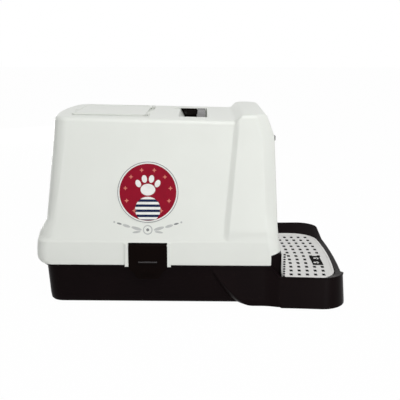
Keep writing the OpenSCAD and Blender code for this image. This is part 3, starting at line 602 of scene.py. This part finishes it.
def drawn_steel(name, tone, along, roughness):
    """Steel with scratches along one axis: 0 for x and 1 for y."""
    material, tree, shader = start_material(name)
    shader.inputs["Metallic"].default_value = 1.0
    place = tree.nodes.new("ShaderNodeTexCoord")
    stretch = tree.nodes.new("ShaderNodeMapping")
    scales = [ALONG_WIRE if axis == along else ACROSS_WIRE for axis in range(3)]
    stretch.inputs["Scale"].default_value = scales
    noise = tree.nodes.new("ShaderNodeTexNoise")
    noise.inputs["Scale"].default_value = 1.0
    noise.inputs["Detail"].default_value = 3.0
    tree.links.new(place.outputs["Object"], stretch.inputs["Vector"])
    tree.links.new(stretch.outputs["Vector"], noise.inputs["Vector"])
    scratch = noise.outputs["Fac"]
    dark = [c * 0.86 for c in tone]
    tree.links.new(two_tones(tree, scratch, dark, tone), shader.inputs["Base Color"])
    patchy = stretched(tree, scratch, roughness - 0.06, roughness + 0.08)
    tree.links.new(patchy, shader.inputs["Roughness"])
    bumped(tree, shader, scratch, 0.01 * MM)
    return material


# %% [markdown]
# The pins keep their measured shape and only get the material. The handle's pins lie in a dark
# pocket and are blackened, so that they don't flash.

# %% Give the pins their steel
def refinish(node, material):
    """Gives a measured node a new material and leaves its shape alone."""
    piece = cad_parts[node]
    for slot in piece.material_slots:
        slot.material = material
    if not piece.material_slots:
        piece.data.materials.append(material)


wire_across = drawn_steel("drawn_wire_across", (0.60, 0.60, 0.59), along=1, roughness=0.26)
wire_along = drawn_steel("drawn_wire_along", (0.56, 0.56, 0.55), along=0, roughness=0.30)
blackened = drawn_steel("blackened_wire", (0.045, 0.043, 0.041), along=1, roughness=0.38)
pin_steels = {"door_spindle": wire_across, "hatch_pins": wire_across, "handle_pins": blackened,
              "latch_pin_near": wire_along, "latch_pin_far": wire_along}
for node, steel in pin_steels.items():
    refinish(node, steel)
print("steel on", len(pin_steels), "nodes")

# %% [markdown]
# ## The filter under the hatch
# A slotted tray of light plastic drops in under the hatch lid. Its slots are so fine that a bevel
# would only add faces, so the tray is merged and shaded, with its edges left as they are.

# %% Filter tray
dress("filter_tray", "filter_basket", light_plastic, "hood", 0.0)

# %% [markdown]
# A pad of charcoal felt lies in the tray. Felt is a mat of short fibres without a weave. Real hair
# strands could make it, but nobody sees one fibre at a time, so noise is enough: fine fibres times
# coarser tufts, which both the tone and the bumps follow. Sheen adds the pale fuzz at low angles.

# %% Charcoal felt
def charcoal_felt(name):
    """Dark felt with fibres on tufts."""
    material, tree, shader = start_material(name)
    fibres = object_noise(tree, 900.0, detail=6.0)
    tufts = object_noise(tree, 120.0, detail=3.0)
    mat = tree.nodes.new("ShaderNodeMath")
    mat.operation = "MULTIPLY"
    tree.links.new(fibres, mat.inputs[0])
    tree.links.new(tufts, mat.inputs[1])
    spread = tree.nodes.new("ShaderNodeMapRange")
    spread.inputs["From Min"].default_value = 0.12
    spread.inputs["From Max"].default_value = 0.42
    tree.links.new(mat.outputs[0], spread.inputs["Value"])
    charcoal = two_tones(tree, spread.outputs["Result"], (0.012, 0.012, 0.013),
                         (0.060, 0.060, 0.062))
    tree.links.new(charcoal, shader.inputs["Base Color"])
    shader.inputs["Roughness"].default_value = 0.95
    shader.inputs["Sheen Weight"].default_value = 0.35
    shader.inputs["Sheen Roughness"].default_value = 0.5
    tufted = bumped(tree, shader, tufts, 0.6 * MM)
    bumped(tree, shader, fibres, 0.3 * MM, tufted)
    return material


felt = charcoal_felt("charcoal_felt")
print("felt has", len(felt.node_tree.nodes), "nodes")

# %% [markdown]
# The pad's edges are soft, and its face swells a little between them. It starts as a flat box the
# size of the measured pad, is cut into a fine grid, and is crowned: its middle rises, and its
# sides draw in between the corners. A cloth simulation could do the same, but it would be slow for
# so small a swell. The pad leans with the hatch, so it is tilted to the measured pad's upper face.

# %% Filter pad
PAD_T, PAD_CUTS = 8 * MM, 9
SIDE_DRAW, END_DRAW = 0.018, 0.014
EDGE_RISE, CROWN_RISE, UNDERSIDE = 0.80, 0.17, 0.97

pad_low, pad_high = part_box("filter_pad")
pad_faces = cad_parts["filter_pad"].data.polygons
pad_up = max(pad_faces, key=lambda p: (p.normal.z > 0.9) * p.area).normal
pad_size = Vector((pad_high.x - pad_low.x, pad_high.y - pad_low.y, PAD_T))
pad = bmesh.new()
bmesh.ops.create_cube(pad, size=2.0)
bmesh.ops.subdivide_edges(pad, edges=pad.edges, cuts=PAD_CUTS, use_grid_fill=True)
for v in pad.verts:
    # the sine packs more rows near the edges, where the felt turns over
    u, w, t = (math.sin(c * math.pi / 2) for c in v.co)
    crown = (1 - u ** 4) * (1 - w ** 4)
    v.co.x = u * pad_size.x / 2 * (1 - SIDE_DRAW * (1 - w * w))
    v.co.y = w * pad_size.y / 2 * (1 - END_DRAW * (1 - u * u))
    v.co.z = t * pad_size.z / 2 * (EDGE_RISE + CROWN_RISE * crown if t > 0 else UNDERSIDE)
tilt = Vector((0, 0, 1)).rotation_difference(pad_up).to_matrix()
bmesh.ops.rotate(pad, cent=(0, 0, 0), matrix=tilt, verts=pad.verts)
bmesh.ops.translate(pad, vec=(pad_low + pad_high) / 2, verts=pad.verts)

felt_pad = finish_piece("felt_pad", pad, [felt], "hood", 180)
rounding = felt_pad.modifiers.new("rounding", "SUBSURF")
rounding.levels = rounding.render_levels = 2
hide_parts("filter_pad")
print("felt pad is", [round(c / MM, 1) for c in pad_size], "mm, tilted",
      round(math.degrees(pad_up.angle(Vector((0, 0, 1)))), 2), "degrees")

# %% [markdown]
# ## The round badges
# A printed film disc sits on each side of the hood. The print here is a plain design of the
# workshop's own: a white paw over a striped ball on a crimson ground with small salmon stars, and
# a grey ring. It could be painted as an image, but silk-screened inks lie on each other in steps
# that can be felt. So each ink is a thin sheet of its own, which also stays sharp close up.

# %% Inks
TONE_SPREAD, DULLNESS_SPREAD = 0.06, 0.05


def printed_ink(name, tone, roughness=0.34, shine=0.10):
    """Ink whose tone and roughness are a little cloudy."""
    material, tree, shader = start_material(name)
    cloud = object_noise(tree, 70.0, detail=3.0)
    dark = [c * (1 - TONE_SPREAD) for c in tone]
    light = [min(1.0, c * (1 + TONE_SPREAD)) for c in tone]
    tree.links.new(two_tones(tree, cloud, dark, light), shader.inputs["Base Color"])
    patchy = stretched(tree, cloud, roughness - DULLNESS_SPREAD, roughness + DULLNESS_SPREAD)
    tree.links.new(patchy, shader.inputs["Roughness"])
    shader.inputs["Specular IOR Level"].default_value = shine
    bumped(tree, shader, object_noise(tree, 1100.0), 0.012 * MM)
    return material


film_white = printed_ink("badge_film_white", (0.78, 0.79, 0.76), roughness=0.30, shine=0.30)
INKS = [printed_ink("ink_crimson", (0.270, 0.0050, 0.021)),
        printed_ink("ink_grey", (0.24, 0.25, 0.25)),
        printed_ink("ink_white", (0.82, 0.82, 0.80)),
        printed_ink("ink_salmon", (0.66, 0.20, 0.155)),
        printed_ink("ink_navy", (0.008, 0.016, 0.060)),
        printed_ink("ink_pale_grey", (0.50, 0.51, 0.50))]
CRIMSON, GREY, WHITE, SALMON, NAVY, PALE_GREY = range(len(INKS))
print("inks mixed:", len(INKS))

# %% [markdown]
# The art is drawn flat, in millimetres from the middle of the disc, with x to the right and y up.
# Every shape starts as a circle. It is scaled into an oval, drawn in to a star, bridged to a ring
# or cut into stripes. The layer says how many sheets of ink lie under it.

# %% Helpers that draw ovals, rings and stars of ink
INK_T = 0.08 * MM
STAR_POINTS, STAR_WAIST = 4, 0.42


def ink_oval(art, ink, layer, middle, half, turn=0.0, points=48):
    """An oval of ink: its middle and half widths in millimetres, and its turn in degrees."""
    made = bmesh.ops.create_circle(art, cap_ends=True, radius=1.0, segments=points)["verts"]
    bmesh.ops.scale(art, vec=(half[0] * MM, half[1] * MM, 1), verts=made)
    spun = Matrix.Rotation(math.radians(turn), 3, "Z")
    bmesh.ops.rotate(art, cent=(0, 0, 0), matrix=spun, verts=made)
    bmesh.ops.translate(art, vec=(middle[0] * MM, middle[1] * MM, layer * INK_T), verts=made)
    for face in {f for v in made for f in v.link_faces}:
        face.material_index = ink
    return made


def ink_ring(art, ink, layer, middle, outer, inner):
    """A ring of ink: two circles with a bridge of faces between them."""
    rims = []
    for radius in (outer, inner):
        made = bmesh.ops.create_circle(art, cap_ends=False, radius=radius * MM,
                                       segments=96)["verts"]
        bmesh.ops.translate(art, vec=(middle[0] * MM, middle[1] * MM, layer * INK_T), verts=made)
        rims += {e for v in made for e in v.link_edges}
    for face in bmesh.ops.bridge_loops(art, edges=rims)["faces"]:
        face.material_index = ink
        if face.normal.z < 0:
            face.normal_flip()


def ink_star(art, ink, layer, middle, size):
    """A four-pointed star: a ring of eight points with every other one drawn in."""
    made = ink_oval(art, ink, layer, middle, (size, size), points=2 * STAR_POINTS)
    at = Vector((middle[0] * MM, middle[1] * MM, layer * INK_T))
    for v in made[1::2]:
        v.co = at.lerp(v.co, STAR_WAIST)


# %% [markdown]
# The ball is striped in two inks. Its stripes could be bars, but bars would stick out past the
# ball's round edge. So each stripe is a whole disc of ink that is cut by two lines. The ball hangs
# over the edge of the crimson ground, and points past that edge are drawn back to it.

# %% Helper that draws a striped ball
def striped_ball(art, middle, radius, bands, edge):
    """A ball in stripes. Each stripe is a disc cut by two lines, and kept inside the edge."""
    width = 2 * radius / bands
    for k in range(bands):
        low = middle[1] - radius + k * width
        stripe = bmesh.new()
        ink = NAVY if k % 2 == 0 else WHITE
        ink_oval(stripe, ink, 2, middle, (radius, radius), points=96)
        for height, way in ((low, -1), (low + width, 1)):
            everything = stripe.verts[:] + stripe.edges[:] + stripe.faces[:]
            bmesh.ops.bisect_plane(stripe, geom=everything, plane_co=(0, height * MM, 0),
                                   plane_no=(0, way, 0), clear_outer=True)
        for v in stripe.verts:
            reach = math.hypot(v.co.x, v.co.y)
            if reach > edge * MM:
                v.co.x *= edge * MM / reach
                v.co.y *= edge * MM / reach
        stripe_mesh = bpy.data.meshes.new("stripe")
        stripe.to_mesh(stripe_mesh)
        stripe.free()
        art.from_mesh(stripe_mesh)
        bpy.data.meshes.remove(stripe_mesh)


# %% [markdown]
# With these helpers the print can be drawn like a sign. The stars stand on a circle, so a loop
# works out where each one goes. The toes and the leaves follow no rule, so their places are
# written down, and the leaves on the left are a mirror of those on the right.

# %% Badge art
DISC_R, RING_R, RING_W = 56.0, 60.0, 1.3
STARS, FIRST_STAR, STAR_STEP, STARS_R, STAR_SIZE = 10, -54, 32, 45, 4.6
BALL_AT, BALL_R, BALL_BANDS, BALL_INSIDE = (0, -34), 25, 10, 0.6
# each toe's middle and turn
TOES = ((-19, 17, 24), (-7, 26, 8), (7, 26, -8), (19, 17, -24))


def badge_art():
    """The print on the disc: ground, ring, stars, ball and paw."""
    art = bmesh.new()
    ink_oval(art, CRIMSON, 1, (0, 0), (DISC_R, DISC_R), points=128)
    ink_ring(art, GREY, 1, (0, 0), RING_R, RING_R - RING_W)
    for k in range(STARS):
        angle = math.radians(FIRST_STAR + k * STAR_STEP)
        star_at = (STARS_R * math.cos(angle), STARS_R * math.sin(angle))
        ink_star(art, SALMON, 2, star_at, STAR_SIZE)
    striped_ball(art, BALL_AT, BALL_R, BALL_BANDS, DISC_R - BALL_INSIDE)
    ink_oval(art, WHITE, 3, (0, 5), (14.5, 11.5))
    for x, y, turn in TOES:
        ink_oval(art, WHITE, 3, (x, y), (5.2, 7.6), turn)
    return art


# %% Ornament under the badge
ORNAMENT_AT = (0, -74)
# the ink, middle, half widths and turn of each leaf on the right
LEAVES = ((PALE_GREY, 22, -71.5, (10.5, 3.0), 16), (PALE_GREY, 22, -78.5, (8.0, 2.0), -8),
          (PALE_GREY, 42, -66.5, (8.0, 2.6), 16), (GREY, 56, -62.0, (5.0, 1.7), 14),
          (PALE_GREY, 66, -59.0, (2.0, 2.0), 0))


def side_ornament():
    """Grey ornament on the wall under the disc: a ring and leaves that shrink outwards."""
    art = bmesh.new()
    ink_ring(art, PALE_GREY, 1, ORNAMENT_AT, 9.5, 7.3)
    ink_oval(art, GREY, 1, ORNAMENT_AT, (3.0, 3.0))
    for way in (-1, 1):
        for ink, x, y, half, turn in LEAVES:
            ink_oval(art, ink, 1, (way * x, y), half, way * turn)
    return art


# %% [markdown]
# The side walls lean. The flat art could be turned by angles worked out for that lean, but a
# matrix made from the outer face of the measured disc lays it on without any, and the same lines
# serve both sides.

# %% Lay the art on both sides
BADGE_T = 0.8 * MM


def lay_art(name, art, side, sign, depth):
    """Lays flat art on a badge: x to the right, y up, z out of the wall, depth below its face."""
    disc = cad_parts[f"badge_{side}"].data
    out = max(disc.polygons, key=lambda p: (p.normal.y * sign > 0.5) * p.area).normal.copy()
    right = Vector((-sign, 0, 0))
    low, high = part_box(f"badge_{side}")
    reach = [v.co.dot(out) for v in disc.vertices]
    place = Matrix.Identity(4)
    for column, axis in enumerate((right, out.cross(right), out)):
        for row in range(3):
            place[row][column] = axis[row]
    place.translation = (low + high) / 2 + out * ((max(reach) - min(reach)) / 2 - depth)
    bmesh.ops.solidify(art, geom=art.faces[:], thickness=INK_T)
    bmesh.ops.transform(art, matrix=place, verts=art.verts)
    finish_piece(name, art, INKS, "hood", 30)


for side, sign in SIDES:
    dress(f"badge_{side}", f"badge_film_{side}", film_white, "hood", 0.2 * MM)
    lay_art(f"badge_art_{side}", badge_art(), side, sign, 0.0)
    lay_art(f"side_ornament_{side}", side_ornament(), side, sign, BADGE_T)
print("badges printed in", len(INKS), "inks")

# %% [markdown]
# ## The white floor
# The object stands on a white sweep. More light would make a floor white, but it would also wash
# the object out. So the paper is a pale grey that keeps the object's shadow, and rays that come
# straight from the camera, off gloss or through clear plastic see it glow white.

# %% Helpers for white surroundings
def seen_directly(tree):
    """1 for rays from the camera, off gloss or through clear plastic, which show the studio."""
    path = tree.nodes.new("ShaderNodeLightPath")
    value = path.outputs["Is Camera Ray"]
    for kind in ("Is Glossy Ray", "Is Transmission Ray"):
        larger = tree.nodes.new("ShaderNodeMath")
        larger.operation = "MAXIMUM"
        tree.links.new(value, larger.inputs[0])
        tree.links.new(path.outputs[kind], larger.inputs[1])
        value = larger.outputs[0]
    return value


def blended(tree, share, lit, seen, surface):
    """Joins two shaders at the surface: lit where the share is 0, and seen where it is 1."""
    blend = tree.nodes.new("ShaderNodeMixShader")
    tree.links.new(share, blend.inputs["Fac"])
    tree.links.new(lit.outputs[0], blend.inputs[1])
    tree.links.new(seen.outputs[0], blend.inputs[2])
    tree.links.new(blend.outputs[0], surface)


# %% White floor
PAPER, GLOW_SHARE, FLOOR_HALF = 0.80, 0.985, 12.0

backdrop_white = bpy.data.materials.new("backdrop_white")
backdrop_white.use_nodes = True
tree = backdrop_white.node_tree
tree.nodes.clear()
out = tree.nodes.new("ShaderNodeOutputMaterial")
paper = tree.nodes.new("ShaderNodeBsdfDiffuse")
paper.inputs["Color"].default_value = (PAPER, PAPER, PAPER, 1)
glow = tree.nodes.new("ShaderNodeEmission")
glow.inputs["Strength"].default_value = 1.0
share = tree.nodes.new("ShaderNodeMath")
share.operation = "MULTIPLY"
share.inputs[1].default_value = GLOW_SHARE
tree.links.new(seen_directly(tree), share.inputs[0])
blended(tree, share.outputs[0], paper, glow, out.inputs["Surface"])

floor_shape = bmesh.new()
bmesh.ops.create_grid(floor_shape, x_segments=1, y_segments=1, size=FLOOR_HALF)
floor_mesh = bpy.data.meshes.new("floor")
floor_shape.to_mesh(floor_mesh)
floor_shape.free()
floor_mesh.materials.append(backdrop_white)
floor = bpy.data.objects.new("floor", floor_mesh)
scene.collection.objects.link(floor)
print("floor reaches", FLOOR_HALF, "m each way")

# %% [markdown]
# ## The world
# The world does the same as the floor. It could be one plain white, but then it would fill every
# shadow. So it lights the object with about a third of that, and looks white where it is seen.

# %% World
WORLD_LIGHT, WORLD_SEEN = 0.36, 1.0


def white_background(tree, strength):
    """A white background shader."""
    background = tree.nodes.new("ShaderNodeBackground")
    background.inputs["Color"].default_value = (1, 1, 1, 1)
    background.inputs["Strength"].default_value = strength
    return background


world = bpy.data.worlds.new("studio")
scene.world = world
world.use_nodes = True
tree = world.node_tree
tree.nodes.clear()
out = tree.nodes.new("ShaderNodeOutputWorld")
blended(tree, seen_directly(tree), white_background(tree, WORLD_LIGHT),
        white_background(tree, WORLD_SEEN), out.inputs["Surface"])
print("world lights at", WORLD_LIGHT, "and is seen at", WORLD_SEEN)

# %% [markdown]
# ## Lamps
# Four soft boxes light the object as a product shop would: a small key high in front, a large
# weaker one high on the right, a low one that reaches under the skirt, and one behind. Spots
# could light it too, but wide lamps cast the soft shadows that suit satin plastic. The camera
# doesn't see the lamps, so none shows against the white.

# %% Lamps
def softbox(name, at, aim, size, power):
    """A wide lamp at a place, turned to its aim: its width and height in metres, power in watts."""
    lamp = bpy.data.lights.new(name, "AREA")
    lamp.shape = "RECTANGLE"
    lamp.size, lamp.size_y = size
    lamp.energy = power
    holder = bpy.data.objects.new(name, lamp)
    holder.location = at
    holder.rotation_euler = (Vector(aim) - Vector(at)).to_track_quat("-Z", "Y").to_euler()
    holder.visible_camera = False
    scene.collection.objects.link(holder)


softbox("key", at=(0.10, -0.90, 2.30), aim=(0.1, -0.1, 0.2), size=(0.7, 0.7), power=15.5)
softbox("right", at=(0.84, -1.22, 1.95), aim=(0, 0, 0.2), size=(1.4, 1.4), power=10.5)
softbox("low", at=(1.10, -2.40, 0.25), aim=(0.1, 0, 0.15), size=(1.2, 0.45), power=16)
softbox("back", at=(-1.40, 2.40, 0.19), aim=(0, 0, 0.19), size=(2.0, 0.34), power=26)
scene.view_settings.view_transform = "Standard"
print("lamps:", [(lamp.name, lamp.energy) for lamp in bpy.data.lights])
